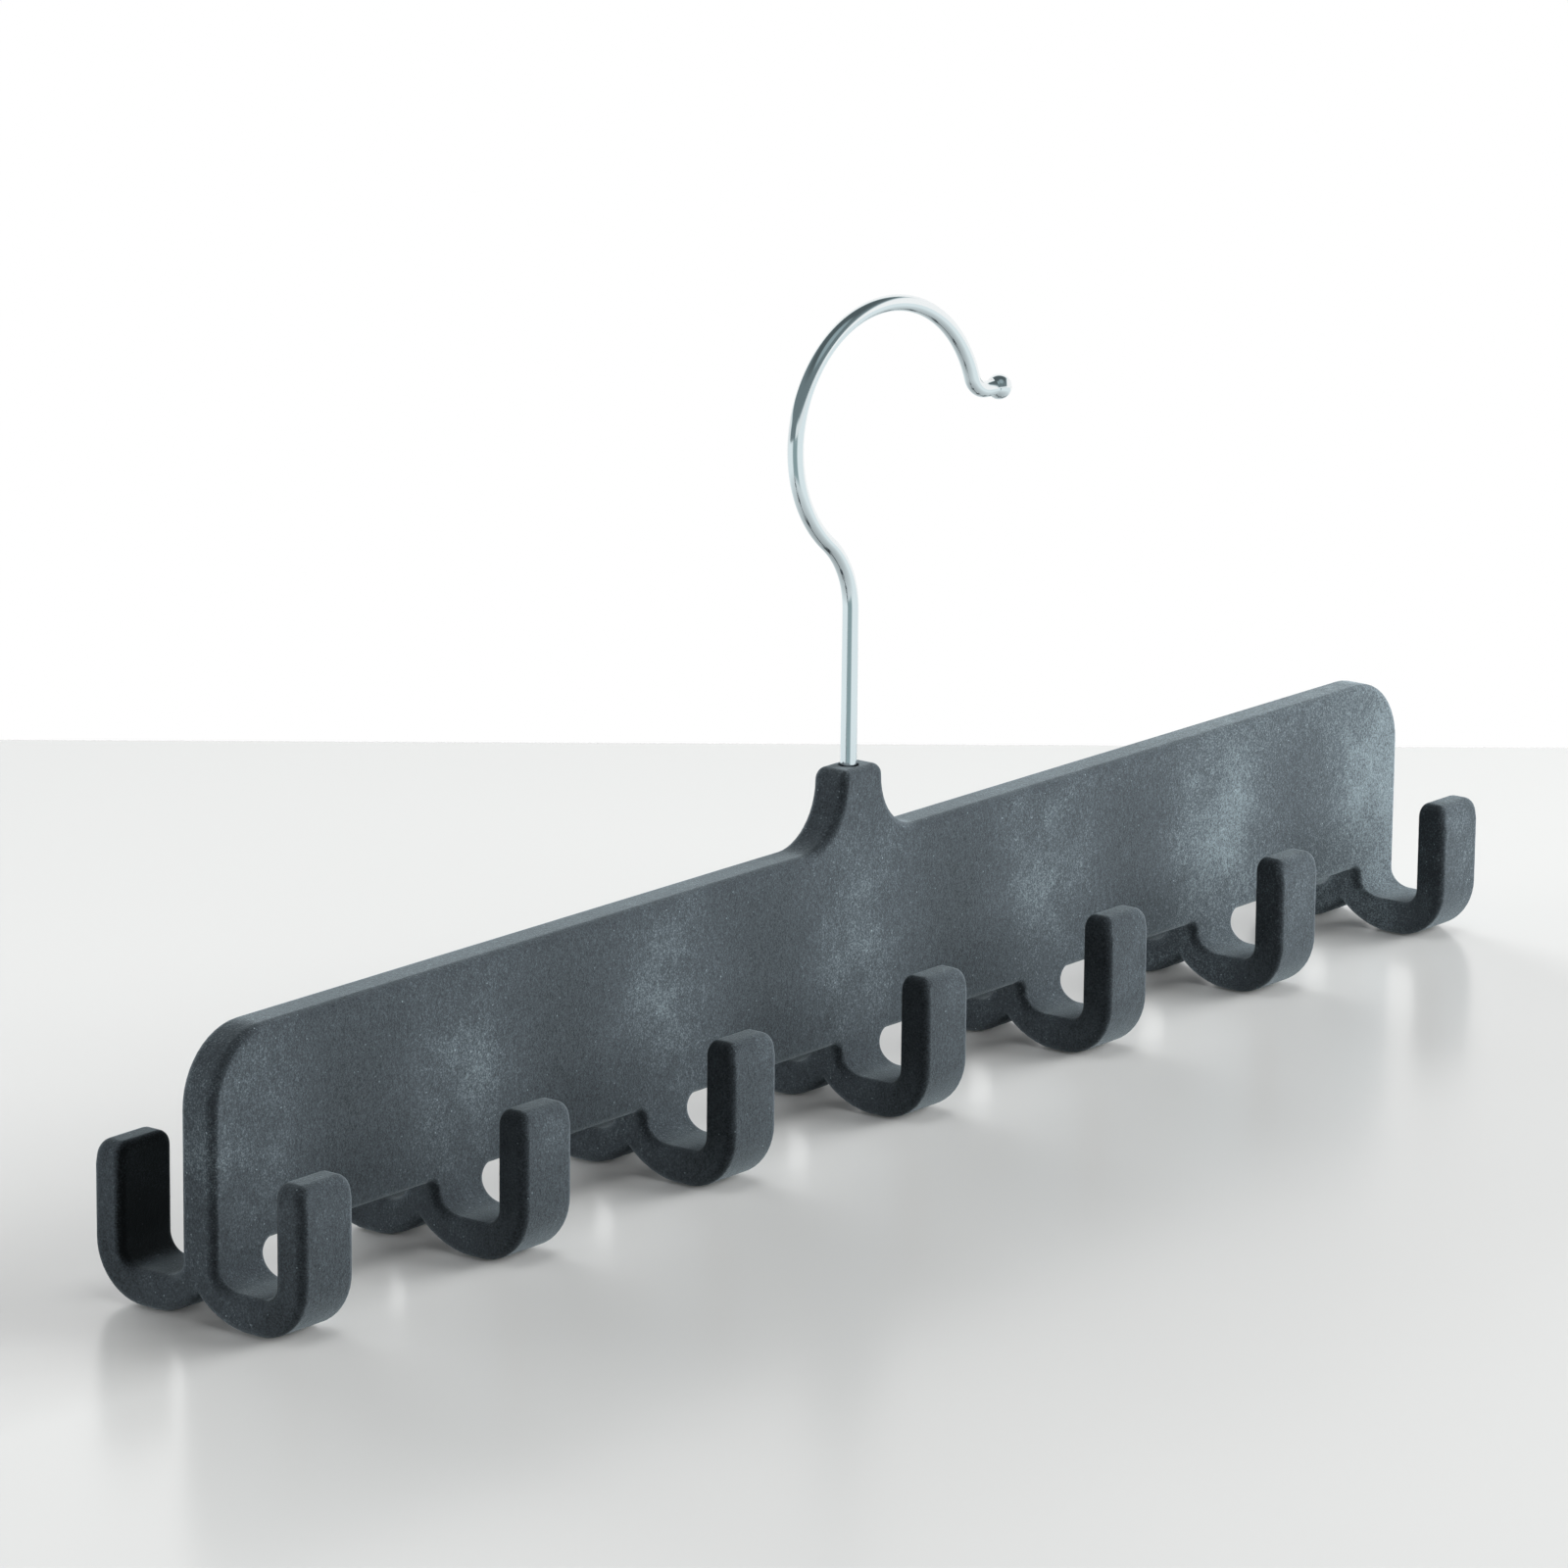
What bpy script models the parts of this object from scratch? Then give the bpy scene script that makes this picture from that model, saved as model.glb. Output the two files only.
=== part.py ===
# A belt hanger: one flocked moulding with seven double hooks, hung by a turning wire hook.
#
# All lengths are in metres. +X runs along the bar, -Y is the front, +Z is up. The origin lies
# on the surface that the hooks stand on, under the middle of the bar.
import math

import bmesh
import bpy
from mathutils import Vector

# The bar: a flat plate with a double hook at each station, flush with its ends.
station_count = 7
hook_pitch = 0.060
hook_width = 0.0141
plate_thickness = 0.008
plate_top_height = 0.0527
plate_corner_radius = 0.0142
stem_fillet_radius = 0.0021
edge_radius = 0.00175

# A double hook, seen from the end of the bar: a slot, an upright and a rounded underside.
slot_width = 0.0142
upright_thickness = 0.0068
upright_height = 0.0293
upright_corner_radius = 0.0028
upright_taper_height = 0.0045
upright_taper_depth = 0.0008
trough_floor_thickness = 0.007
trough_corner_radius = 0.0036
trough_plate_run = 0.0048
underside_radius = 0.0112
standing_flat_width = 0.003
underside_notch_height = 0.0047

# The neck that carries the wire hook, and the gap round moving and seated pieces.
neck_height = 0.0143
neck_width = 0.0128
neck_flare_radius = 0.013
neck_rim_radius = 0.0025
bore_clearance = 0.0005
running_gap = 0.0003

# The wire hook: shank, bend, open loop, tail and cold-headed ball, measured on its centre line.
wire_diameter = 0.0032
shank_height = 0.031
bend_radius = 0.0175
loop_radius = 0.0252
loop_offset = 0.0095
tail_bend_radius = 0.0042
tail_length = 0.0039
ball_diameter = 0.005
loop_end_angle = math.radians(18)
loop_turn_angle = math.radians(-6)

# The foot of the wire inside the neck, and the split ring snapped into its groove.
foot_depth = 0.0135
foot_head_length = 0.0022
foot_chamfer = 0.0005
groove_diameter = 0.002
ring_thickness = 0.0008
ring_bite = 0.0004
ring_split_angle = math.radians(50)

# How finely round stretches are divided.
corner_steps = 6
flare_steps = 6
trough_steps = 4
edge_steps = 3
upright_corner_steps = 3
underside_steps = 6
wire_sides = 16
loop_steps = 24
bend_steps = 6
tail_steps = 5
ball_steps = 6
bore_sides = 24
cut_overrun = 0.002

# Places that follow from the sizes above.
bar_length = (station_count - 1) * hook_pitch + hook_width
plate_half = plate_thickness / 2
outer_face = plate_half + slot_width + upright_thickness
trough_top_height = trough_floor_thickness + trough_corner_radius
plate_foot_height = trough_top_height + stem_fillet_radius
neck_top_height = plate_top_height + neck_height
wire_radius = wire_diameter / 2
bore_radius = wire_radius + bore_clearance
ring_inner_radius = groove_diameter / 2 + running_gap
ring_outer_radius = bore_radius + ring_bite
foot_end_height = neck_top_height - foot_depth
groove_low = foot_end_height + foot_head_length
groove_high = groove_low + ring_thickness + 2 * running_gap


def clear_scene():
    for thing in list(bpy.data.objects):
        bpy.data.objects.remove(thing, do_unlink=True)


def make_material(name, colour, roughness, metallic):
    material = bpy.data.materials.new(name)
    material.use_nodes = True
    shader = material.node_tree.nodes["Principled BSDF"]
    shader.inputs["Base Color"].default_value = (*colour, 1)
    shader.inputs["Roughness"].default_value = roughness
    shader.inputs["Metallic"].default_value = metallic
    return material


def arc(centre, radius, start, end, steps):
    # Points on an arc from one angle to another, both ends included.
    points = []
    for step in range(steps + 1):
        angle = start + (end - start) * step / steps
        points.append((centre[0] + radius * math.cos(angle), centre[1] + radius * math.sin(angle)))
    return points


def object_from(name, mesh_data):
    mesh = bpy.data.meshes.new(name)
    mesh_data.to_mesh(mesh)
    mesh_data.free()
    thing = bpy.data.objects.new(name, mesh)
    bpy.context.collection.objects.link(thing)
    return thing


def extrude_outline(outline, to_point, travel):
    # A prism from an outline of pairs: to_point places a pair, travel is the extrusion.
    mesh_data = bmesh.new()
    face = mesh_data.faces.new([mesh_data.verts.new(to_point(pair)) for pair in outline])
    swept = bmesh.ops.extrude_face_region(mesh_data, geom=[face])
    moved = [item for item in swept["geom"] if isinstance(item, bmesh.types.BMVert)]
    bmesh.ops.translate(mesh_data, verts=moved, vec=travel)
    bmesh.ops.recalc_face_normals(mesh_data, faces=mesh_data.faces)
    return mesh_data


def station_starts():
    # The left side of each double hook along the bar.
    return [index * hook_pitch - bar_length / 2 for index in range(station_count)]


def plate_outline():
    # The front view of the plate: its foot with a stem at each station, then the top and neck.
    right = bar_length / 2
    fillet = stem_fillet_radius
    points = []
    starts = station_starts()
    for index, start in enumerate(starts):
        if index > 0:
            points += arc((start - fillet, trough_top_height), fillet, math.pi / 2, 0, trough_steps)
        else:
            points.append((start, trough_top_height))
        if index < station_count - 1:
            points += arc((start + hook_width + fillet, trough_top_height), fillet, math.pi, math.pi / 2, trough_steps)
        else:
            points.append((start + hook_width, trough_top_height))
    corner = plate_corner_radius
    corner_height = plate_top_height - corner
    points += arc((right - corner, corner_height), corner, 0, math.pi / 2, corner_steps)
    half_neck = neck_width / 2
    flare = min(neck_flare_radius, neck_height - neck_rim_radius)
    flare_centre = half_neck + flare
    points += arc((flare_centre, plate_top_height + flare), flare, -math.pi / 2, -math.pi, flare_steps)
    rim = neck_rim_radius
    rim_height = neck_top_height - rim
    points += arc((half_neck - rim, rim_height), rim, 0, math.pi / 2, trough_steps)
    points += arc((rim - half_neck, rim_height), rim, math.pi / 2, math.pi, trough_steps)
    points += arc((-flare_centre, plate_top_height + flare), flare, 0, -math.pi / 2, flare_steps)
    points += arc((corner - right, corner_height), corner, math.pi / 2, math.pi, corner_steps)
    return points


def hook_half_outline():
    # One half of the double hook's end view, from the notch out, up and back to the stem.
    flat_outer = outer_face - underside_radius
    flat_inner = flat_outer - standing_flat_width
    inner_radius = (flat_inner ** 2 + underside_notch_height ** 2) / (2 * underside_notch_height)
    notch_angle = math.atan2(underside_notch_height - inner_radius, -flat_inner)
    if notch_angle > 0:
        notch_angle -= 2 * math.pi
    points = arc((flat_inner, inner_radius), inner_radius, notch_angle, -math.pi / 2, underside_steps)
    points += arc((flat_outer, underside_radius), underside_radius, -math.pi / 2, 0, underside_steps)
    points.append((outer_face, upright_height - upright_taper_height))
    points.append((outer_face - upright_taper_depth, upright_height))
    inner_face = outer_face - upright_thickness
    points.append((inner_face, upright_height))
    corner = trough_corner_radius
    points += arc((inner_face - corner, trough_top_height), corner, 0, -math.pi / 2, trough_steps)
    for rise, run in reversed(arc((0, 0), 1, 0, math.pi / 2, trough_steps)):
        across = plate_half + trough_plate_run * (1 - rise)
        points.append((across, trough_top_height - corner * run))
    points.append((plate_half, plate_foot_height + stem_fillet_radius))
    return points


def double_hook(start):
    half = hook_half_outline()
    outline = half + [(-across, height) for across, height in reversed(half[1:])]
    mesh_data = extrude_outline(outline, lambda pair: Vector((start, pair[0], pair[1])), Vector((hook_width, 0, 0)))
    top_edges = []
    for edge in mesh_data.edges:
        ends = [vertex.co for vertex in edge.verts]
        level = all(abs(end.z - upright_height) < running_gap for end in ends)
        if level and abs(ends[0].x - ends[1].x) < running_gap:
            top_edges.append(edge)
    bmesh.ops.bevel(mesh_data, geom=top_edges, offset=upright_corner_radius, segments=upright_corner_steps, profile=0.5,
                    affect="EDGES", clamp_overlap=True)
    return mesh_data


def join_meshes(name, meshes):
    joined = bmesh.new()
    for mesh_data in meshes:
        copy = bpy.data.meshes.new(name)
        mesh_data.to_mesh(copy)
        mesh_data.free()
        joined.from_mesh(copy)
        bpy.data.meshes.remove(copy)
    return object_from(name, joined)


def apply_boolean(thing, other, operation):
    # Runs one exact Boolean, keeps its result on the first object and removes the second.
    cut = thing.modifiers.new(operation, "BOOLEAN")
    cut.operation = operation
    cut.object = other
    graph = bpy.context.evaluated_depsgraph_get()
    result = bpy.data.meshes.new_from_object(thing.evaluated_get(graph))
    thing.modifiers.clear()
    thing.data = result
    bpy.data.objects.remove(other, do_unlink=True)


def round_edges(thing):
    # Merges the coplanar faces and rounds every sharp outer edge.
    mesh_data = bmesh.new()
    mesh_data.from_mesh(thing.data)
    bmesh.ops.remove_doubles(mesh_data, verts=mesh_data.verts, dist=running_gap / 30)
    bmesh.ops.dissolve_limit(mesh_data, angle_limit=math.radians(1), verts=mesh_data.verts,
                             edges=mesh_data.edges)
    sharp = [edge for edge in mesh_data.edges
             if edge.is_convex and edge.calc_face_angle() > math.radians(50)]
    bmesh.ops.bevel(mesh_data, geom=sharp, offset=edge_radius, segments=edge_steps, profile=0.5,
                    affect="EDGES", clamp_overlap=True)
    mesh_data.to_mesh(thing.data)
    mesh_data.free()


def turned_solid(name, profile, sides):
    # A closed solid turned about the Z axis from pairs of radius and height, bottom to top.
    mesh_data = bmesh.new()
    rings = []
    for radius, height in profile:
        ring = []
        for side in range(sides):
            angle = 2 * math.pi * side / sides
            ring.append(mesh_data.verts.new((radius * math.cos(angle), radius * math.sin(angle), height)))
        rings.append(ring)
    for lower, upper in zip(rings, rings[1:]):
        for side in range(sides):
            after = (side + 1) % sides
            mesh_data.faces.new((lower[side], lower[after], upper[after], upper[side]))
    mesh_data.faces.new(list(reversed(rings[0])))
    mesh_data.faces.new(rings[-1])
    return object_from(name, mesh_data)


def neck_cutter():
    # The bore for the wire's foot, with the wider pocket that the split ring opens into.
    pocket_radius = ring_outer_radius + running_gap
    profile = [
        (bore_radius, foot_end_height - running_gap),
        (bore_radius, groove_low),
        (pocket_radius, groove_low),
        (pocket_radius, groove_high),
        (bore_radius, groove_high),
        (bore_radius, neck_top_height + cut_overrun),
    ]
    return turned_solid("neck_cutter", profile, bore_sides)


def hanger_body(material):
    outline = plate_outline()
    plate_mesh = extrude_outline(outline, lambda pair: Vector((pair[0], -plate_half, pair[1])),
                                 Vector((0, plate_thickness, 0)))
    body = object_from("hanger_body", plate_mesh)
    hooks = join_meshes("double_hooks", [double_hook(start) for start in station_starts()])
    apply_boolean(body, hooks, "UNION")
    round_edges(body)
    apply_boolean(body, neck_cutter(), "DIFFERENCE")
    body.data.materials.clear()
    body.data.materials.append(material)
    body.data.shade_smooth()
    body.data.set_sharp_from_angle(angle=math.radians(35))
    return body


def wire_route():
    # Stations along the wire, foot to ball: centre out from the shank's axis, centre height,
    # heading and radius. The heading is an angle from the loop's side of the shank.
    up = math.pi / 2
    groove = groove_diameter / 2
    route = [
        (0, foot_end_height, up, wire_radius - foot_chamfer),
        (0, foot_end_height + foot_chamfer, up, wire_radius),
        (0, groove_low, up, wire_radius),
        (0, groove_low, up, groove),
        (0, groove_high, up, groove),
        (0, groove_high, up, wire_radius),
    ]
    bend_low = neck_top_height + shank_height
    bend_centre = (-bend_radius, bend_low)
    reach = bend_radius + loop_radius
    across = bend_radius + loop_offset
    rise = math.sqrt(reach ** 2 - across ** 2)
    turn = math.atan2(rise, across)
    for step in range(bend_steps):
        angle = turn * step / bend_steps
        route.append((bend_centre[0] + bend_radius * math.cos(angle),
                      bend_centre[1] + bend_radius * math.sin(angle), up + angle, wire_radius))
    loop_centre = (loop_offset, bend_low + rise)
    start = math.pi + turn
    for step in range(loop_steps + 1):
        angle = start + (loop_end_angle - start) * step / loop_steps
        route.append((loop_centre[0] + loop_radius * math.cos(angle),
                      loop_centre[1] + loop_radius * math.sin(angle), angle - up, wire_radius))
    heading = loop_end_angle - up
    last = route[-1]
    tail_centre = (last[0] - tail_bend_radius * math.sin(heading),
                   last[1] + tail_bend_radius * math.cos(heading))
    for step in range(1, tail_steps + 1):
        angle = heading * (1 - step / tail_steps)
        route.append((tail_centre[0] + tail_bend_radius * math.sin(angle),
                      tail_centre[1] - tail_bend_radius * math.cos(angle), angle, wire_radius))
    ball_radius = ball_diameter / 2
    ball_across = route[-1][0] + tail_length
    neck_angle = math.pi - math.asin(min(wire_radius / ball_radius, 1))
    for step in range(ball_steps):
        angle = neck_angle * (1 - step / ball_steps)
        route.append((ball_across + ball_radius * math.cos(angle), route[-1][1], 0,
                      ball_radius * math.sin(angle)))
    route.append((ball_across + ball_radius, route[-1][1], 0, 0))
    return route


def swivel_hook(material):
    mesh_data = bmesh.new()
    rings = []
    for across, height, heading, radius in wire_route():
        side_way = Vector((-math.sin(heading), 0, math.cos(heading)))
        centre = Vector((across, 0, height))
        if radius == 0:
            rings.append([mesh_data.verts.new(centre)])
            continue
        ring = []
        for side in range(wire_sides):
            angle = 2 * math.pi * side / wire_sides
            spoke = side_way * math.cos(angle) + Vector((0, 1, 0)) * math.sin(angle)
            ring.append(mesh_data.verts.new(centre + spoke * radius))
        rings.append(ring)
    for lower, upper in zip(rings, rings[1:]):
        for side in range(wire_sides):
            after = (side + 1) % wire_sides
            if len(upper) == 1:
                mesh_data.faces.new((lower[side], lower[after], upper[0]))
            else:
                mesh_data.faces.new((lower[side], lower[after], upper[after], upper[side]))
    mesh_data.faces.new(rings[0])
    bmesh.ops.recalc_face_normals(mesh_data, faces=mesh_data.faces)
    hook = object_from("swivel_hook", mesh_data)
    hook.rotation_euler.z = loop_turn_angle
    hook.data.materials.append(material)
    hook.data.shade_smooth()
    hook.data.set_sharp_from_angle(angle=math.radians(40))
    return hook


def retaining_ring(material, hook):
    # The split ring, seen from above as an open band round the groove.
    sides = bore_sides
    half_split = ring_split_angle / 2
    outer = arc((0, 0), ring_outer_radius, half_split, 2 * math.pi - half_split, sides)
    inner = arc((0, 0), ring_inner_radius, 2 * math.pi - half_split, half_split, sides)
    low = groove_low + running_gap
    mesh_data = extrude_outline(outer + inner, lambda pair: Vector((pair[0], pair[1], low)),
                                Vector((0, 0, ring_thickness)))
    ring = object_from("retaining_ring", mesh_data)
    ring.parent = hook
    ring.data.materials.append(material)
    return ring


def build():
    clear_scene()
    flock = make_material("slate_flock", (0.072, 0.089, 0.098), 0.95, 0)
    plated = make_material("plated_steel", (0.72, 0.74, 0.75), 0.16, 1)
    spring = make_material("spring_steel", (0.42, 0.42, 0.43), 0.35, 1)
    hanger_body(flock)
    hook = swivel_hook(plated)
    retaining_ring(spring, hook)


build()
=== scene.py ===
# Looks for a belt hanger: a flocked bar with seven double hooks, hung by a plated wire hook.
# Lengths are in metres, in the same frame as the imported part: X along the bar, -Y the front.
import math

import bmesh
import bpy
from mathutils import Matrix, Vector


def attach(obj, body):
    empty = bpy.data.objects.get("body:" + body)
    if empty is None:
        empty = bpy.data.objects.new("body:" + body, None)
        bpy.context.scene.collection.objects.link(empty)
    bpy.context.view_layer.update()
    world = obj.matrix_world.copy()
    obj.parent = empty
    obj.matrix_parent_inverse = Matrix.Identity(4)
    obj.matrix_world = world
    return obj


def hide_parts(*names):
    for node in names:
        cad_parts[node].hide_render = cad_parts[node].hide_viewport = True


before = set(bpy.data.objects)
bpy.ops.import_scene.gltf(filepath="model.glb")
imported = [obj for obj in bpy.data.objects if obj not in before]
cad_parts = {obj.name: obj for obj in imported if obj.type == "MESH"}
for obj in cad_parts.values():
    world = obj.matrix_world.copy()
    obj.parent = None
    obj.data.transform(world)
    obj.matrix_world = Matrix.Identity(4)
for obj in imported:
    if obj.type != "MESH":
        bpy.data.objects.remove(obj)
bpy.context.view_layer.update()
print("frame loaded:", sorted(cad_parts))

samePlace = 1e-6     # points nearer to each other than this are one
millimetres = 1000   # in a metre; patterns are sized in them


def objectFromBmesh(name, bm):
    mesh = bpy.data.meshes.new(name)
    bm.to_mesh(mesh)
    bm.free()
    thing = bpy.data.objects.new(name, mesh)
    bpy.context.scene.collection.objects.link(thing)
    return thing


def applyModifiers(thing):
    # Keeps what the modifiers make as the piece's own mesh.
    graph = bpy.context.evaluated_depsgraph_get()
    thing.data = bpy.data.meshes.new_from_object(thing.evaluated_get(graph))
    thing.modifiers.clear()


def addBoolean(thing, other, operation):
    cut = thing.modifiers.new(operation, "BOOLEAN")
    cut.operation = operation
    cut.solver = "EXACT"
    cut.object = other
    applyModifiers(thing)
    bpy.data.objects.remove(other, do_unlink=True)


def smoothShade(thing, angle):
    # Smooth across every edge that turns less than the angle.
    thing.data.shade_smooth()
    thing.data.set_sharp_from_angle(angle=angle)
    weighted = thing.modifiers.new("weightedNormals", "WEIGHTED_NORMAL")
    weighted.keep_sharp = True
    applyModifiers(thing)


def roundedOutline(corners, steps, place):
    # One face from its corners; a corner is (across, up, radius), place turns a pair to 3-D.
    bm = bmesh.new()
    verts = [bm.verts.new(place(across, up)) for across, up, radius in corners]
    bm.faces.new(verts)
    for vert, (across, up, radius) in zip(verts, corners):
        if radius > 0:
            bmesh.ops.bevel(bm, geom=[vert], offset=radius, segments=steps, profile=0.5,
                            affect="VERTICES", material=-1)
    return bm


def extrudeFace(bm, travel):
    pulled = bmesh.ops.extrude_face_region(bm, geom=bm.faces[:])
    moved = [item for item in pulled["geom"] if isinstance(item, bmesh.types.BMVert)]
    bmesh.ops.translate(bm, verts=moved, vec=travel)
    bmesh.ops.remove_doubles(bm, verts=bm.verts[:], dist=samePlace)
    bmesh.ops.recalc_face_normals(bm, faces=bm.faces[:])


# The bar: plate, neck and seven double hooks in one flocked moulding.

bar = {
    "stations": 7,
    "pitch": 0.060,
    "hookWidth": 0.0141,
    "plateThickness": 0.008,
    "plateTop": 0.0527,
    "plateCorner": 0.0142,
    "plateFoot": 0.0127,
    "stemFillet": 0.0021,
    "edgeRound": 0.00175,
    "slotWidth": 0.0142,
    "uprightThickness": 0.0068,
    "uprightTop": 0.0293,
    "uprightCorner": 0.0028,
    "taperHeight": 0.0045,
    "taperDepth": 0.0008,
    "slotFloor": 0.007,
    "slotCorner": 0.0036,
    "slotPlateRun": 0.0048,            # how far the slot's corner runs out from the plate
    "undersideRound": 0.0112,
    "standingFlat": 0.003,
    "notchHeight": 0.0047,
    "neckTop": 0.067,
    "neckWidth": 0.0128,
    "neckFlare": 0.0118,
    "neckRim": 0.0025,
    "boreRadius": 0.0021,
    "boreDepth": 0.0138,
    "boreSides": 48,
    "cornerSteps": 12,
    "uprightSteps": 6,
    "edgeSteps": 8,
    "weldReach": 8e-5,                 # slivers shorter than this would spoil the rounding
    "flatAngle": math.radians(1),      # faces that turn less than this are one
    "sharpAngle": math.radians(50),    # outer edges that turn more than this are rounded
    "smoothAngle": math.radians(40),
}


def stationStarts():
    length = (bar["stations"] - 1) * bar["pitch"] + bar["hookWidth"]
    return [index * bar["pitch"] - length / 2 for index in range(bar["stations"])]


def plateAndNeck():
    starts = stationStarts()
    left, right = starts[0], starts[-1] + bar["hookWidth"]
    foot, fillet = bar["plateFoot"], bar["stemFillet"]
    stem = foot - fillet
    corners = []
    for start in starts:
        end = start + bar["hookWidth"]
        if start > left:
            corners.append((start, foot, fillet))
        corners += [(start, stem, 0), (end, stem, 0)]
        if end < right:
            corners.append((end, foot, fillet))
    top, corner = bar["plateTop"], bar["plateCorner"]
    half, flare = bar["neckWidth"] / 2, bar["neckFlare"]
    neckTop, rim = bar["neckTop"], bar["neckRim"]
    corners += [(right, top, corner), (half, top, flare), (half, neckTop, rim),
                (-half, neckTop, rim), (-half, top, flare), (left, top, corner)]
    front = -bar["plateThickness"] / 2
    bm = roundedOutline(corners, bar["cornerSteps"], lambda across, up: (across, front, up))
    extrudeFace(bm, (0, bar["plateThickness"], 0))
    return objectFromBmesh("flockedBar", bm)


def doubleHook(start):
    # One outline from the front upright under the plate to the back one, then its width.
    plateHalf = bar["plateThickness"] / 2
    inner = plateHalf + bar["slotWidth"]
    outer = inner + bar["uprightThickness"]
    flatInner = outer - bar["undersideRound"] - bar["standingFlat"]
    notch = bar["notchHeight"]
    notchFoot = (flatInner ** 2 - notch ** 2) / (2 * flatInner)
    floor, corner = bar["slotFloor"], bar["slotCorner"]
    half = [
        (notchFoot, 0, flatInner - notchFoot),
        (outer, 0, bar["undersideRound"]),
        (outer, bar["uprightTop"] - bar["taperHeight"], 0),
        (outer - bar["taperDepth"], bar["uprightTop"], 0),
        (inner, bar["uprightTop"], 0),
        (inner, floor, corner),
        (plateHalf, floor, corner),
        (plateHalf, bar["plateFoot"] + bar["stemFillet"], 0),
    ]
    mirrored = [(-across, up, radius) for across, up, radius in reversed(half)]
    bm = roundedOutline([(0, notch, 0)] + half + mirrored, bar["cornerSteps"],
                        lambda across, up: (start, across, up))
    # the corner beside the plate is drawn out along the slot's floor
    stretch = bar["slotPlateRun"] / corner
    for side in (-1, 1):
        drawn = [vert for vert in bm.verts
                 if -samePlace < vert.co.y * side - plateHalf < corner + samePlace
                 and -samePlace < vert.co.z - floor < corner + samePlace]
        bmesh.ops.scale(bm, verts=drawn, vec=(1, stretch, 1),
                        space=Matrix.Translation((0, -side * plateHalf, 0)))
    extrudeFace(bm, (bar["hookWidth"], 0, 0))
    topEdges = [edge for edge in bm.edges
                if all(abs(vert.co.z - bar["uprightTop"]) < samePlace for vert in edge.verts)
                and abs(edge.verts[0].co.x - edge.verts[1].co.x) < samePlace]
    bmesh.ops.bevel(bm, geom=topEdges, offset=bar["uprightCorner"], segments=bar["uprightSteps"],
                    profile=0.5, affect="EDGES", clamp_overlap=True, material=-1)
    return objectFromBmesh("doubleHook", bm)


def roundEdges(thing):
    bm = bmesh.new()
    bm.from_mesh(thing.data)
    bmesh.ops.remove_doubles(bm, verts=bm.verts[:], dist=bar["weldReach"])
    bmesh.ops.dissolve_limit(bm, angle_limit=bar["flatAngle"], verts=bm.verts[:],
                             edges=bm.edges[:])
    sharp = [edge for edge in bm.edges
             if edge.is_convex and edge.calc_face_angle() > bar["sharpAngle"]]
    bmesh.ops.bevel(bm, geom=sharp, offset=bar["edgeRound"], segments=bar["edgeSteps"],
                    profile=0.5, affect="EDGES", clamp_overlap=False, material=-1)
    bm.to_mesh(thing.data)
    bm.free()


def boreCutter():
    # Half of it stands above the neck.
    bm = bmesh.new()
    bmesh.ops.create_cone(bm, segments=bar["boreSides"], radius1=bar["boreRadius"],
                          radius2=bar["boreRadius"], depth=2 * bar["boreDepth"], cap_ends=True,
                          matrix=Matrix.Translation((0, 0, bar["neckTop"])))
    return objectFromBmesh("boreCutter", bm)


flockedBar = plateAndNeck()
for start in stationStarts():
    addBoolean(flockedBar, doubleHook(start), "UNION")
roundEdges(flockedBar)
addBoolean(flockedBar, boreCutter(), "DIFFERENCE")
smoothShade(flockedBar, bar["smoothAngle"])
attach(flockedBar, "bar")
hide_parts("hanger_body")
print("bar:", len(flockedBar.data.polygons), "faces")


# The wire hook: shank, bend, open loop, tail and cold-headed ball.

wire = {
    "radius": 0.0016,
    "foot": 0.0535,
    "shankTop": 0.098,
    "bendRadius": 0.0175,
    "loopRadius": 0.0252,
    "loopOffset": 0.0095,
    "loopEnd": math.radians(18),
    "tailBend": 0.0042,
    "tailLength": 0.0039,
    "ballRadius": 0.0025,
    "turn": math.radians(-6),          # about the shank, as it stands in the neck
    "sides": 40,
    "loopSteps": 96,
    "bendSteps": 24,
    "tailSteps": 16,
    "ballSteps": 14,
    "smoothAngle": math.radians(50),
}


def edgesOf(items):
    return [item for item in items if isinstance(item, bmesh.types.BMEdge)]


def vertsOf(edges):
    return list({vert for edge in edges for vert in edge.verts})


def runStraight(bm, edges, travel):
    pulled = bmesh.ops.extrude_edge_only(bm, edges=edges)
    moved = [item for item in pulled["geom"] if isinstance(item, bmesh.types.BMVert)]
    bmesh.ops.translate(bm, verts=moved, vec=travel)
    ends = set(moved)
    return [edge for edge in edgesOf(pulled["geom"]) if all(vert in ends for vert in edge.verts)]


def runBend(bm, edges, centre, angle, steps):
    # A turn about an axis along Y; a positive angle turns from +X up towards +Z.
    spun = bmesh.ops.spin(bm, geom=vertsOf(edges) + edges, cent=centre, axis=(0, -1, 0),
                          angle=angle, steps=steps, use_merge=False, use_duplicate=False)
    return edgesOf(spun["geom_last"])


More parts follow.
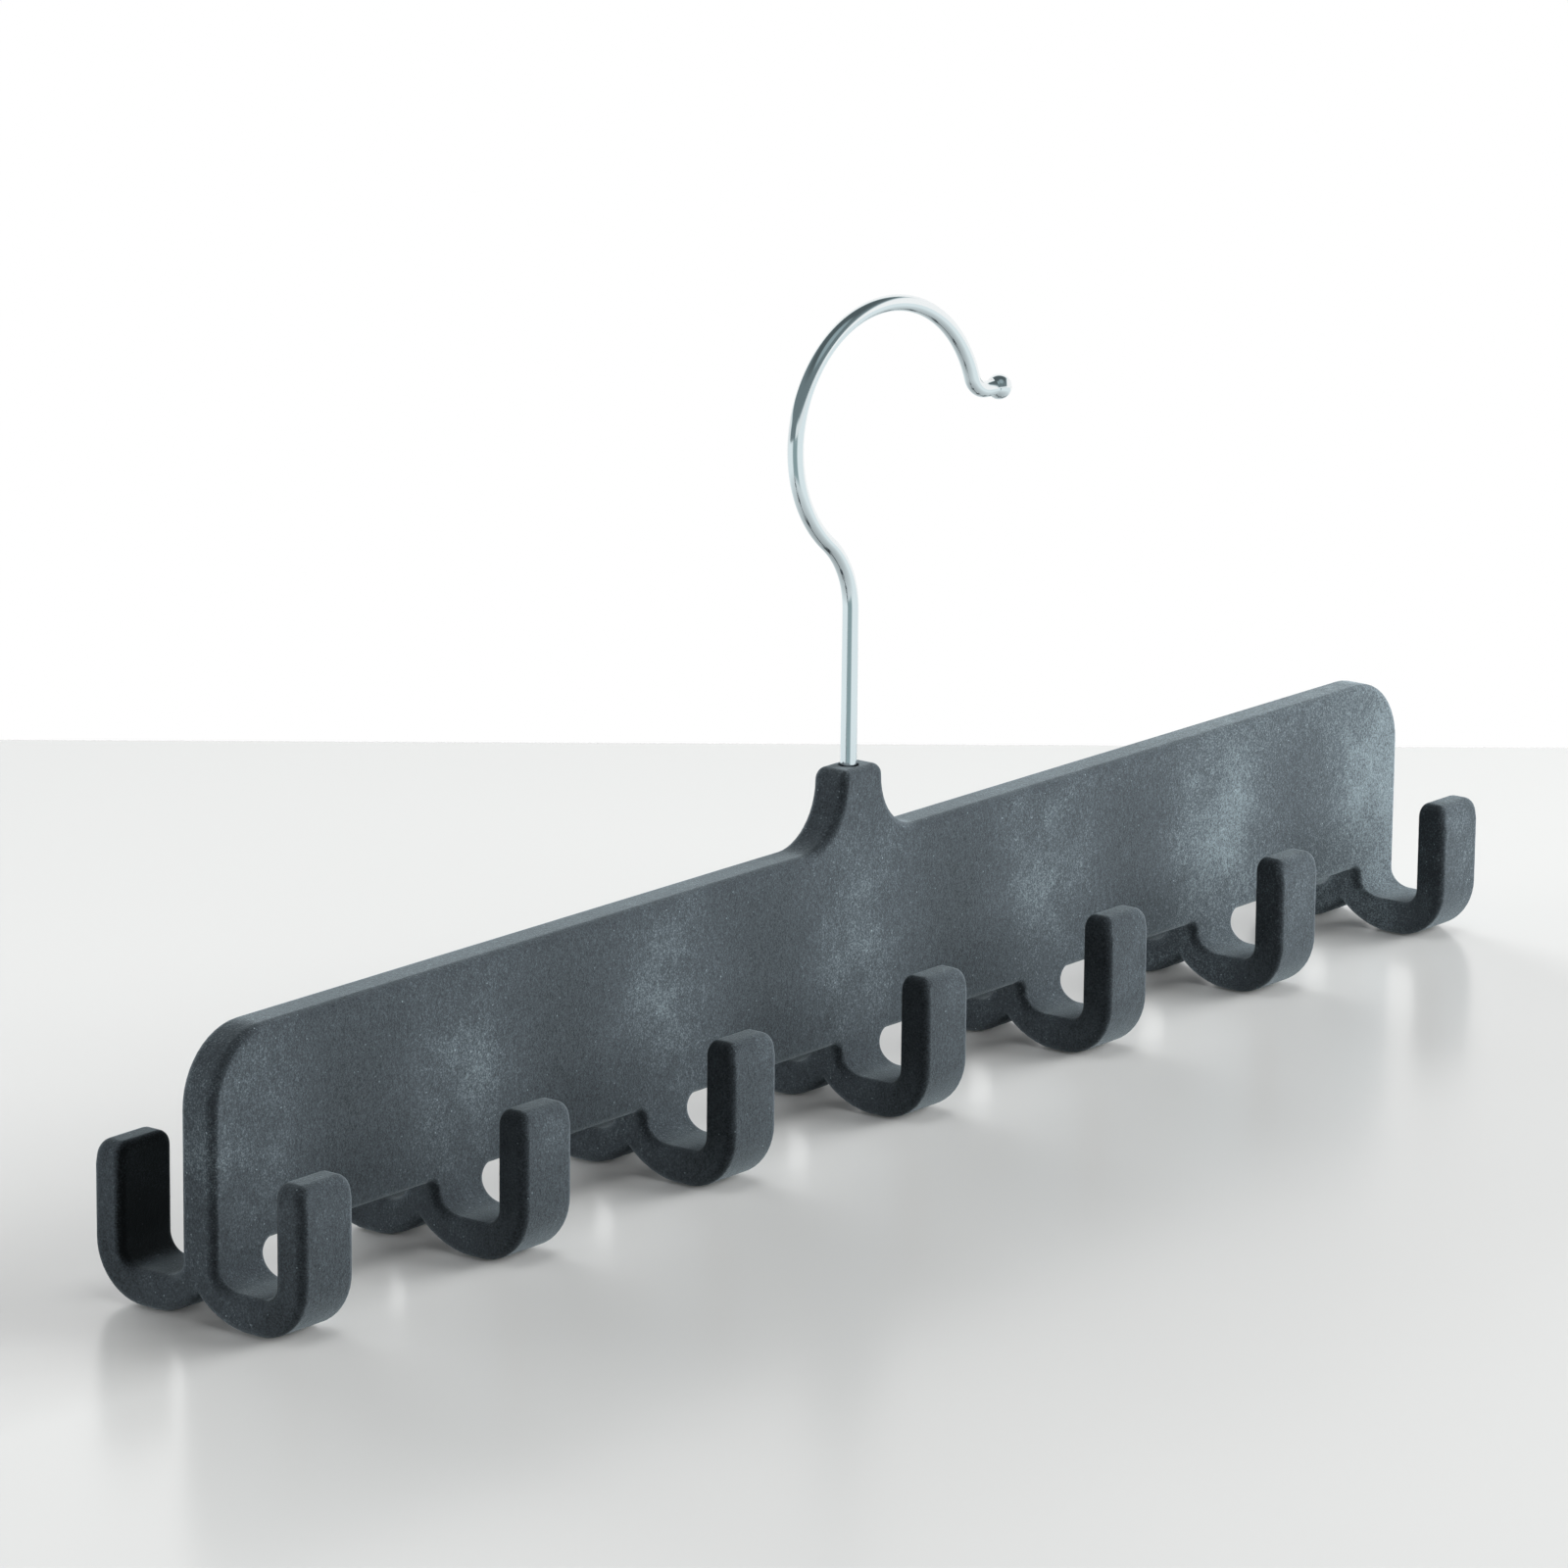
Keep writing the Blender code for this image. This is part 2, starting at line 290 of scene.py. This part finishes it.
def runBall(bm, edges, tip):
    # The tail's end is pulled on, and scaled to the ball's section at each step.
    centre = tip.x + wire["tailLength"]
    neckAngle = math.pi - math.asin(wire["radius"] / wire["ballRadius"])
    size, place = wire["radius"], tip.x
    for step in range(wire["ballSteps"]):
        angle = neckAngle * (1 - step / wire["ballSteps"])
        newPlace = centre + wire["ballRadius"] * math.cos(angle)
        newSize = wire["ballRadius"] * math.sin(angle)
        edges = runStraight(bm, edges, (newPlace - place, 0, 0))
        share = newSize / size
        bmesh.ops.scale(bm, verts=vertsOf(edges), vec=(1, share, share),
                        space=Matrix.Translation((-newPlace, 0, -tip.z)))
        size, place = newSize, newPlace
    cap = bmesh.ops.contextual_create(bm, geom=edges)
    poke = bmesh.ops.poke(bm, faces=cap["faces"])
    bmesh.ops.translate(bm, verts=poke["verts"], vec=(centre + wire["ballRadius"] - place, 0, 0))


def wireHook():
    bm = bmesh.new()
    bmesh.ops.create_circle(bm, cap_ends=True, radius=wire["radius"], segments=wire["sides"],
                            matrix=Matrix.Translation((0, 0, wire["foot"])))
    edges = runStraight(bm, bm.edges[:], (0, 0, wire["shankTop"] - wire["foot"]))
    reach = wire["bendRadius"] + wire["loopRadius"]
    across = wire["bendRadius"] + wire["loopOffset"]
    rise = math.sqrt(reach ** 2 - across ** 2)
    turn = math.atan2(rise, across)
    bendCentre = (-wire["bendRadius"], 0, wire["shankTop"])
    edges = runBend(bm, edges, bendCentre, turn, wire["bendSteps"])
    loopCentre = Vector((wire["loopOffset"], 0, wire["shankTop"] + rise))
    end = wire["loopEnd"]
    edges = runBend(bm, edges, loopCentre, end - (math.pi + turn), wire["loopSteps"])
    last = loopCentre + wire["loopRadius"] * Vector((math.cos(end), 0, math.sin(end)))
    heading = end - math.pi / 2
    tailCentre = last + wire["tailBend"] * Vector((-math.sin(heading), 0, math.cos(heading)))
    edges = runBend(bm, edges, tailCentre, -heading, wire["tailSteps"])
    runBall(bm, edges, tailCentre - Vector((0, 0, wire["tailBend"])))
    bmesh.ops.remove_doubles(bm, verts=bm.verts[:], dist=samePlace)
    bmesh.ops.rotate(bm, verts=bm.verts[:], cent=(0, 0, 0),
                     matrix=Matrix.Rotation(wire["turn"], 3, "Z"))
    bmesh.ops.recalc_face_normals(bm, faces=bm.faces[:])
    return objectFromBmesh("platedHook", bm)


platedHook = wireHook()
smoothShade(platedHook, wire["smoothAngle"])
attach(platedHook, "hook")
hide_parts("swivel_hook")
print("wire hook:", len(platedHook.data.polygons), "faces")


# The materials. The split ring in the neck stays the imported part's own piece.

gentle = {"interpolation_type": "SMOOTHSTEP"}
addUp = {"operation": "ADD"}
multiply = {"operation": "MULTIPLY"}
multiplyAdd = {"operation": "MULTIPLY_ADD"}
absolute = {"operation": "ABSOLUTE"}
dotProduct = {"operation": "DOT_PRODUCT"}


def hexToLinear(hexColour):
    # sRGB hex, such as "4b5558", to the linear values that shaders take.
    channels = [int(hexColour[at:at + 2], 16) / 255 for at in (0, 2, 4)]
    linear = [c / 12.92 if c <= 0.04045 else ((c + 0.055) / 1.055) ** 2.4 for c in channels]
    return (*linear, 1.0)


def addNode(tree, kind, settings=None, **links):
    # One node with its settings. A link is Input_Name=(node, output), input0 is an input by its
    # number, and any other value sets the input.
    node = tree.nodes.new(kind)
    for name, value in (settings or {}).items():
        setattr(node, name, value)
    for name, value in links.items():
        numbered = name.startswith("input")
        socket = node.inputs[int(name[len("input"):]) if numbered else name.replace("_", " ")]
        if isinstance(value, tuple) and isinstance(value[0], bpy.types.Node):
            tree.links.new(value[0].outputs[value[1]], socket)
        else:
            socket.default_value = value
    return node


def startMaterial(name):
    material = bpy.data.materials.new(name)
    material.use_nodes = True
    material.node_tree.nodes.clear()
    return material, material.node_tree


def dress(thing, material):
    thing.data.materials.clear()
    thing.data.materials.append(material)


flock = {
    "rootColour": "0c0e0f",            # between the fibres, at level 0
    "pileColour": "3a4045",
    "pileAt": 0.4,
    "tipColour": "90a0a6",             # fibre tips that catch the light, at level 1
    "level": 0.32,                     # of the plain pile
    "roughness": 1.0,
    "specular": 0.1,
    "sheen": 0.18,
    "sheenRoughness": 0.5,
    "sheenTint": "e7f8ff",
    "cloud": 0.10,                     # painted light: how much paler the pile is above each double hook, between their shadows
    "paintedLightHeight": 0.033,
    "paintedLightReach": 0.030,
    "paintedLightShare": (0.6, 1.4),          # of it, in thin patches and in thick ones
    "paintedEndLight": 0.14,                   # and how much painted light pales the pile towards the bar's right end
    "paintedEndRun": (0.03, 0.19),
    "uprightRun": (0.010, 0.018),      # out from the bar's middle, from plate to uprights
    "uprightEnd": 0.7,                 # the uprights' share of the painted end light
    "uprightDark": 0.09,               # how much darker the uprights are drawn
    "paintedSlotShade": 0.32,                  # painted shade on the slots' inner walls, where little light reaches
    "slotRun": (-0.016, -0.002),       # distance out times how squarely a wall looks back
    "swingRun": (0.3, 0.7),            # most of a noise lies between these
    "patchMm": 9.0,
    "patchDetail": 2.0,
    "patch": 0.06,
    "napMm": 1.3,                      # brushed this way and that
    "napDetail": 3.0,
    "napDistortion": 1.2,
    "napStretch": (1.0, 1.0, 0.7),
    "nap": 0.10,
    "grainMm": 0.35,                   # a fibre is too thin to show, so clumps of them are drawn
    "grainDetail": 3.0,
    "grainRoughness": 0.7,
    "grain": 0.34,
    "lintMm": 2.4,
    "lintWide": 0.08,                  # share of its spacing
    "lint": 0.35,
    "bump": 0.3,
    "bumpMm": 0.3,
}


def nylonFlock():
    # Nylon fibres half a millimetre long, flocked on end over glue: near black where one looks
    # along them, pale where light grazes their tips, and brushed this way and that. Painted light
    # lies in faint clouds above the hooks and pales the right end; painted shade darkens the
    # slots' inner walls.
    material, tree = startMaterial("nylonFlock")
    place = addNode(tree, "ShaderNodeTexCoord")
    spot = (place, "Object")
    axes = addNode(tree, "ShaderNodeSeparateXYZ", Vector=spot)
    patch = addNode(tree, "ShaderNodeTexNoise", Vector=spot,
                    Scale=millimetres / flock["patchMm"], Detail=flock["patchDetail"])
    brushed = addNode(tree, "ShaderNodeMapping", Vector=spot, Scale=flock["napStretch"])
    nap = addNode(tree, "ShaderNodeTexNoise", Vector=(brushed, "Vector"),
                  Scale=millimetres / flock["napMm"], Detail=flock["napDetail"],
                  Distortion=flock["napDistortion"])
    grain = addNode(tree, "ShaderNodeTexNoise", Vector=spot,
                    Scale=millimetres / flock["grainMm"], Detail=flock["grainDetail"],
                    Roughness=flock["grainRoughness"])
    low, high = flock["swingRun"]

    # painted light: paler clouds on the plate, one above each double hook where light falls
    # between their shadows, broken by the patches
    wave = addNode(tree, "ShaderNodeMath", multiply, input0=(axes, "X"),
                   input1=2 * math.pi / bar["pitch"])
    stations = addNode(tree, "ShaderNodeMath", {"operation": "COSINE"}, input0=(wave, "Value"))
    rise = addNode(tree, "ShaderNodeMath", {"operation": "SUBTRACT"}, input0=(axes, "Z"),
                   input1=flock["paintedLightHeight"])
    off = addNode(tree, "ShaderNodeMath", absolute, input0=(rise, "Value"))
    paintedLightBand = addNode(tree, "ShaderNodeMapRange", gentle, Value=(off, "Value"), From_Min=0.0,
                   From_Max=flock["paintedLightReach"], To_Min=flock["cloud"], To_Max=0.0)
    whole = addNode(tree, "ShaderNodeMath", multiply, input0=(stations, "Value"),
                    input1=(paintedLightBand, "Result"))
    broken = addNode(tree, "ShaderNodeMapRange", Value=(patch, "Fac"), From_Min=low,
                     From_Max=high, To_Min=flock["paintedLightShare"][0], To_Max=flock["paintedLightShare"][1])
    cloud = addNode(tree, "ShaderNodeMath", multiplyAdd, input0=(whole, "Value"),
                    input1=(broken, "Result"), input2=flock["level"])

    # painted light, paler towards the bar's right end; and darker on the uprights
    ends = addNode(tree, "ShaderNodeMapRange", gentle, Value=(axes, "X"),
                   From_Min=flock["paintedEndRun"][0], From_Max=flock["paintedEndRun"][1], To_Min=0.0,
                   To_Max=flock["paintedEndLight"])
    out = addNode(tree, "ShaderNodeMath", absolute, input0=(axes, "Y"))
    near, far = flock["uprightRun"]
    held = addNode(tree, "ShaderNodeMapRange", gentle, Value=(out, "Value"), From_Min=near,
                   From_Max=far, To_Min=1.0, To_Max=flock["uprightEnd"])
    level = addNode(tree, "ShaderNodeMath", multiplyAdd, input0=(ends, "Result"),
                    input1=(held, "Result"), input2=(cloud, "Value"))
    upright = addNode(tree, "ShaderNodeMapRange", gentle, Value=(out, "Value"), From_Min=near,
                      From_Max=far, To_Min=0.0, To_Max=-flock["uprightDark"])
    level = addNode(tree, "ShaderNodeMath", addUp, input0=(level, "Value"),
                    input1=(upright, "Result"))

    # painted shade: a face away from the plate that looks back at it is a slot's inner wall,
    # drawn darker
    facing = addNode(tree, "ShaderNodeSeparateXYZ", Vector=(place, "Normal"))
    outward = addNode(tree, "ShaderNodeMath", multiply, input0=(axes, "Y"), input1=(facing, "Y"))
    inside = addNode(tree, "ShaderNodeMapRange", gentle, Value=(outward, "Value"),
                     From_Min=flock["slotRun"][0], From_Max=flock["slotRun"][1], To_Min=1.0,
                     To_Max=0.0)
    level = addNode(tree, "ShaderNodeMath", multiplyAdd, input0=(inside, "Result"),
                    input1=-flock["paintedSlotShade"], input2=(level, "Value"))

    # then the pile itself, and specks of lint
    for noise, share in ((patch, flock["patch"]), (nap, flock["nap"]), (grain, flock["grain"])):
        swing = addNode(tree, "ShaderNodeMapRange", Value=(noise, "Fac"), From_Min=low,
                        From_Max=high, To_Min=-share / 2, To_Max=share / 2)
        level = addNode(tree, "ShaderNodeMath", addUp, input0=(level, "Value"),
                        input1=(swing, "Result"))
    specks = addNode(tree, "ShaderNodeTexVoronoi", {"feature": "F1"}, Vector=spot,
                     Scale=millimetres / flock["lintMm"])
    lint = addNode(tree, "ShaderNodeMapRange", Value=(specks, "Distance"),
                   From_Min=flock["lintWide"] / 2, From_Max=flock["lintWide"],
                   To_Min=flock["lint"], To_Max=0.0)
    level = addNode(tree, "ShaderNodeMath", addUp, input0=(level, "Value"),
                    input1=(lint, "Result"))
    ramp = addNode(tree, "ShaderNodeValToRGB", Fac=(level, "Value"))
    ramp.color_ramp.elements[0].color = hexToLinear(flock["rootColour"])
    ramp.color_ramp.elements[1].color = hexToLinear(flock["tipColour"])
    ramp.color_ramp.elements.new(flock["pileAt"]).color = hexToLinear(flock["pileColour"])
    relief = addNode(tree, "ShaderNodeMath", addUp, input0=(nap, "Fac"), input1=(grain, "Fac"))
    bump = addNode(tree, "ShaderNodeBump", Strength=flock["bump"],
                   Distance=flock["bumpMm"] / millimetres, Height=(relief, "Value"))
    shader = addNode(tree, "ShaderNodeBsdfPrincipled", Base_Color=(ramp, "Color"),
                     Roughness=flock["roughness"], Specular_IOR_Level=flock["specular"],
                     Sheen_Weight=flock["sheen"], Sheen_Roughness=flock["sheenRoughness"],
                     Sheen_Tint=hexToLinear(flock["sheenTint"]), Normal=(bump, "Normal"))
    addNode(tree, "ShaderNodeOutputMaterial", Surface=(shader, "BSDF"))
    return material


plating = {
    "colour": "edf1f2",
    "cloudMm": 4.0,
    "cloudDetail": 1.0,
    "glossy": 0.09,
    "dull": 0.14,
    "bump": 0.008,
    "bumpMm": 0.1,
}


def nickelPlate():
    # Drawn steel wire, bright nickel plated: a soft mirror with faint clouding from the bath.
    material, tree = startMaterial("nickelPlatedSteel")
    place = addNode(tree, "ShaderNodeTexCoord")
    wear = addNode(tree, "ShaderNodeTexNoise", Vector=(place, "Object"),
                   Scale=millimetres / plating["cloudMm"], Detail=plating["cloudDetail"])
    rough = addNode(tree, "ShaderNodeMapRange", Value=(wear, "Fac"), To_Min=plating["glossy"],
                    To_Max=plating["dull"])
    bump = addNode(tree, "ShaderNodeBump", Strength=plating["bump"],
                   Distance=plating["bumpMm"] / millimetres, Height=(wear, "Fac"))
    shader = addNode(tree, "ShaderNodeBsdfPrincipled", Base_Color=hexToLinear(plating["colour"]),
                     Metallic=1.0, Roughness=(rough, "Result"), Normal=(bump, "Normal"))
    addNode(tree, "ShaderNodeOutputMaterial", Surface=(shader, "BSDF"))
    return material


ring = {
    "colour": "adadb0",
    "grainMm": 0.4,
    "grainDetail": 3.0,
    "glossy": 0.25,
    "dull": 0.45,
}


def springSteel():
    # Hardened and tempered steel strip, stamped and tumbled: a bare grey metal, satin and
    # slightly uneven.
    material, tree = startMaterial("springSteel")
    place = addNode(tree, "ShaderNodeTexCoord")
    grain = addNode(tree, "ShaderNodeTexNoise", Vector=(place, "Object"),
                    Scale=millimetres / ring["grainMm"], Detail=ring["grainDetail"])
    rough = addNode(tree, "ShaderNodeMapRange", Value=(grain, "Fac"), To_Min=ring["glossy"],
                    To_Max=ring["dull"])
    shader = addNode(tree, "ShaderNodeBsdfPrincipled", Base_Color=hexToLinear(ring["colour"]),
                     Metallic=1.0, Roughness=(rough, "Result"))
    addNode(tree, "ShaderNodeOutputMaterial", Surface=(shader, "BSDF"))
    return material


dress(flockedBar, nylonFlock())
dress(platedHook, nickelPlate())
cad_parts["retaining_ring"].material_slots[0].material = springSteel()
print("materials set")


# The studio: camera, table, softboxes, and the room that shows in gloss.
# A turn is in degrees round the object from behind the camera, a rise in degrees up.

camera = {
    "place": (-1.12953, -0.86671, 0.41339),
    "heading": 0.90757,                # radians from +Y towards +X
    "elevation": 0.24134,              # and down
    "roll": 0.01042,
    "lens": 173.86,
    "sensor": 36,
    "clip": (0.05, 100),
}

table = {
    "size": 3.0,
    "cells": 8,
    "reach": 0.2953,                   # from the object's middle to the table's far edge
    "turn": math.radians(1.3),
    "colour": "d3d4d3",
    "farColour": "c4c5c4",             # a little less light reaches the far edge
    "ior": 1.5,
    "cloudMm": 166.7,
    "cloudDetail": 2.0,
    "glossy": 0.18,
    "dull": 0.24,
    "paintedReflectionColour": "eef9fc",          # painted reflection: the table as polished wire mirrors it
    "mirrorRun": (0.03, 0.30),         # distances from the object's foot, and the painted glow there, dimmer near the foot as painted shade
    "paintedReflectionGlow": (0.45, 0.92),
    "frontTurn": -8,                   # where the wire mirrors the dark room in front instead
    "frontEdge": (0.78, 0.96),
    "frontRun": (0.20, 0.27),
    "frontColour": "a3bbbf",
    "frontGlow": 0.70,
}

lamps = {
    "distance": 2.2,
    "size": (1.17, 0.88),
    "softboxes": [
        # turn, rise, power
        (120, 8, 131),
        (90, 32, 18),
        (90, 8, 24),
        (52, 81, 12),
        (-60, 8, 21),
        (-90, 8, 26),
        (-120, 8, 17),
        (-150, 8, 73),
    ],
}

room = {
    "spill": 1.3,                      # what the backdrop adds to the object's light
    "backdropEdge": (0.25, 0.75),
    "backdropTop": (0.35, 0.6),
    "colour": "def8ff",                # of the darker room that polished wire mirrors
    "glow": 0.22,
    "ceilingGlow": 0.12,
    "ceilingRun": (0.55, 0.85),
    "whiteRun": (0.4, 1.0),            # glows that turn from the room's colour to white
    "panels": [
        # turn, rise, outer edge, inner edge, glow outside, glow inside
        (180, 0, 0.50, 0.70, 0.0, 1.0),
        (115, -5, 0.64, 0.80, 0.0, 1.0),
        (30, 56, 0.86, 0.98, 0.0, 0.40),
    ],
    "lowGlow": 0.85,                   # a pale strip round the room at the table's height
    "lowRun": (0.08, 0.2),
    "dimCorner": (-50, 0, 0.72, 0.92, 1.0, 0.0),
}


def towards(turn, rise):
    # The direction from the object.
    turn, rise = math.radians(turn) - camera["heading"], math.radians(rise)
    return Vector((math.sin(turn) * math.cos(rise), -math.cos(turn) * math.cos(rise),
                   math.sin(rise)))


def softPanel(tree, way, turn, rise, outer, inner, outside, inside):
    # A round patch in that direction; its soft edge runs between two cosines.
    near = addNode(tree, "ShaderNodeVectorMath", dotProduct, input0=way,
                   input1=towards(turn, rise))
    return addNode(tree, "ShaderNodeMapRange", gentle, Value=(near, "Value"), From_Min=outer,
                   From_Max=inner, To_Min=outside, To_Max=inside), "Result"


def paleLacquer():
    # Board sprayed with pale grey lacquer: even, half glossy, with soft reflections, and painted
    # shade towards its far edge. Mirror rays see a painted glow in its place.
    material, tree = startMaterial("paleLacqueredBoard")
    place = addNode(tree, "ShaderNodeTexCoord")
    spot = (place, "Object")
    cloud = addNode(tree, "ShaderNodeTexNoise", Vector=spot,
                    Scale=millimetres / table["cloudMm"], Detail=table["cloudDetail"])
    rough = addNode(tree, "ShaderNodeMapRange", Value=(cloud, "Fac"), To_Min=table["glossy"],
                    To_Max=table["dull"])
    back = addNode(tree, "ShaderNodeVectorMath", dotProduct, input0=spot, input1=towards(180, 0))
    far = addNode(tree, "ShaderNodeMapRange", Value=(back, "Value"), From_Min=0.0,
                  From_Max=table["reach"])
    shade = addNode(tree, "ShaderNodeMix", {"data_type": "RGBA"}, Factor=(far, "Result"),
                    A=hexToLinear(table["colour"]), B=hexToLinear(table["farColour"]))
    lacquer = addNode(tree, "ShaderNodeBsdfPrincipled", Base_Color=(shade, "Result"),
                      Roughness=(rough, "Result"), IOR=table["ior"])

    # painted reflection: the wire mirrors a glow in place of the pale table, dimmer near the
    # object's foot as painted shade, and of the room where it ends in front
    distance = addNode(tree, "ShaderNodeVectorMath", {"operation": "LENGTH"}, input0=spot)
    pale = addNode(tree, "ShaderNodeMapRange", Value=(distance, "Value"),
                   From_Min=table["mirrorRun"][0], From_Max=table["mirrorRun"][1],
                   To_Min=table["paintedReflectionGlow"][0], To_Max=table["paintedReflectionGlow"][1])
    way = addNode(tree, "ShaderNodeVectorMath", {"operation": "NORMALIZE"}, input0=spot)
    front = softPanel(tree, (way, "Vector"), table["frontTurn"], 0, *table["frontEdge"], 0.0, 1.0)
    beyond = addNode(tree, "ShaderNodeMapRange", gentle, Value=(distance, "Value"),
                     From_Min=table["frontRun"][0], From_Max=table["frontRun"][1])
    ended = addNode(tree, "ShaderNodeMath", multiply, input0=front, input1=(beyond, "Result"))
    colour = addNode(tree, "ShaderNodeMix", {"data_type": "RGBA"}, Factor=(ended, "Value"),
                     A=hexToLinear(table["paintedReflectionColour"]), B=hexToLinear(table["frontColour"]))
    glow = addNode(tree, "ShaderNodeMix", {"data_type": "FLOAT"}, Factor=(ended, "Value"),
                   A=(pale, "Result"), B=table["frontGlow"])
    mirrored = addNode(tree, "ShaderNodeEmission", Color=(colour, "Result"),
                       Strength=(glow, "Result"))
    path = addNode(tree, "ShaderNodeLightPath")
    mix = addNode(tree, "ShaderNodeMixShader", input0=(path, "Is Glossy Ray"),
                  input1=(lacquer, "BSDF"), input2=(mirrored, "Emission"))
    addNode(tree, "ShaderNodeOutputMaterial", Surface=(mix, "Shader"))
    material.cycles.emission_sampling = "NONE"   # the glow is only mirrored, it is no lamp
    return material


def makeTable():
    # A table top whose straight far edge lies across the camera's view.
    bm = bmesh.new()
    half, cells = table["size"] / 2, table["cells"]
    bmesh.ops.create_grid(bm, x_segments=cells, y_segments=cells, size=half)
    bmesh.ops.translate(bm, verts=bm.verts[:], vec=(0, table["reach"] - half, 0))
    bmesh.ops.rotate(bm, verts=bm.verts[:], cent=(0, 0, 0),
                     matrix=Matrix.Rotation(table["turn"] - camera["heading"], 3, "Z"))
    floor = objectFromBmesh("floor", bm)
    dress(floor, paleLacquer())


def makeSoftbox(turn, rise, power):
    lamp = bpy.data.lights.new("softbox", "AREA")
    lamp.shape = "RECTANGLE"
    lamp.size, lamp.size_y = lamps["size"]
    lamp.energy = power
    thing = bpy.data.objects.new("softbox", lamp)
    thing.location = towards(turn, rise) * lamps["distance"]
    thing.rotation_euler = (-thing.location).to_track_quat("-Z", "Y").to_euler()
    thing.visible_camera = False   # it would hide the table in views from other sides
    thing.visible_glossy = False   # the room's panels are what shines
    bpy.context.scene.collection.objects.link(thing)


def makeRoom():
    # A white backdrop lights the object from behind; gloss shows the backdrop, a bright side and
    # a dim room; and the camera sees plain white all round.
    world = bpy.data.worlds.new("studioWorld")
    bpy.context.scene.world = world
    world.use_nodes = True
    tree = world.node_tree
    tree.nodes.clear()
    place = addNode(tree, "ShaderNodeTexCoord")
    way = (place, "Generated")
    height = addNode(tree, "ShaderNodeSeparateXYZ", Vector=way)
    sides = softPanel(tree, way, 180, 0, *room["backdropEdge"], 0.0, room["spill"])
    top = addNode(tree, "ShaderNodeMapRange", gentle, Value=(height, "Z"),
                  From_Min=room["backdropTop"][0], From_Max=room["backdropTop"][1], To_Min=1.0,
                  To_Max=0.0)
    soft = addNode(tree, "ShaderNodeMath", multiply, input0=sides, input1=(top, "Result"))

    # what gloss shows is the brightest of the room, its panels and the low strip
    mirrored = addNode(tree, "ShaderNodeMapRange", gentle, Value=(height, "Z"),
                       From_Min=room["ceilingRun"][0], From_Max=room["ceilingRun"][1],
                       To_Min=room["glow"], To_Max=room["ceilingGlow"]), "Result"
    for panel in room["panels"]:
        mirrored = addNode(tree, "ShaderNodeMath", {"operation": "MAXIMUM"}, input0=mirrored,
                           input1=softPanel(tree, way, *panel)), "Value"
    low = addNode(tree, "ShaderNodeMapRange", gentle, Value=(height, "Z"),
                  From_Min=room["lowRun"][0], From_Max=room["lowRun"][1],
                  To_Min=room["lowGlow"], To_Max=0.0)
    strip = addNode(tree, "ShaderNodeMath", multiply, input0=(low, "Result"),
                    input1=softPanel(tree, way, *room["dimCorner"]))
    mirrored = addNode(tree, "ShaderNodeMath", {"operation": "MAXIMUM"}, input0=mirrored,
                       input1=(strip, "Value")), "Value"

    path = addNode(tree, "ShaderNodeLightPath")
    level = addNode(tree, "ShaderNodeMix", {"data_type": "FLOAT"},
                    Factor=(path, "Is Glossy Ray"), A=(soft, "Value"), B=mirrored)
    whiter = addNode(tree, "ShaderNodeMapRange", Value=(level, "Result"),
                     From_Min=room["whiteRun"][0], From_Max=room["whiteRun"][1])
    tint = addNode(tree, "ShaderNodeMix", {"data_type": "RGBA"}, Factor=(whiter, "Result"),
                   A=hexToLinear(room["colour"]), B=(1, 1, 1, 1))
    glow = addNode(tree, "ShaderNodeBackground", Color=(tint, "Result"),
                   Strength=(level, "Result"))
    seen = addNode(tree, "ShaderNodeBackground", Color=(1, 1, 1, 1), Strength=1.0)
    mix = addNode(tree, "ShaderNodeMixShader", input0=(path, "Is Camera Ray"),
                  input1=(glow, "Background"), input2=(seen, "Background"))
    addNode(tree, "ShaderNodeOutputWorld", Surface=(mix, "Shader"))


def makeCamera():
    data = bpy.data.cameras.new("photoCamera")
    data.lens = camera["lens"]
    data.sensor_width = camera["sensor"]
    data.clip_start, data.clip_end = camera["clip"]
    thing = bpy.data.objects.new("photoCamera", data)
    heading, elevation, roll = camera["heading"], camera["elevation"], camera["roll"]
    right = Vector((math.cos(heading), -math.sin(heading), 0))
    level = Vector((math.sin(heading), math.cos(heading), 0))
    forward = level * math.cos(elevation) - Vector((0, 0, math.sin(elevation)))
    up = right.cross(forward)
    turnedRight = right * math.cos(roll) + up * math.sin(roll)
    turnedUp = up * math.cos(roll) - right * math.sin(roll)
    axes = Matrix((turnedRight, turnedUp, -forward)).transposed()
    thing.matrix_world = Matrix.Translation(camera["place"]) @ axes.to_4x4()
    bpy.context.scene.collection.objects.link(thing)
    bpy.context.scene.camera = thing


makeTable()
for softbox in lamps["softboxes"]:
    makeSoftbox(*softbox)
makeRoom()
makeCamera()
bpy.context.scene.view_settings.view_transform = "Standard"
print("studio set")
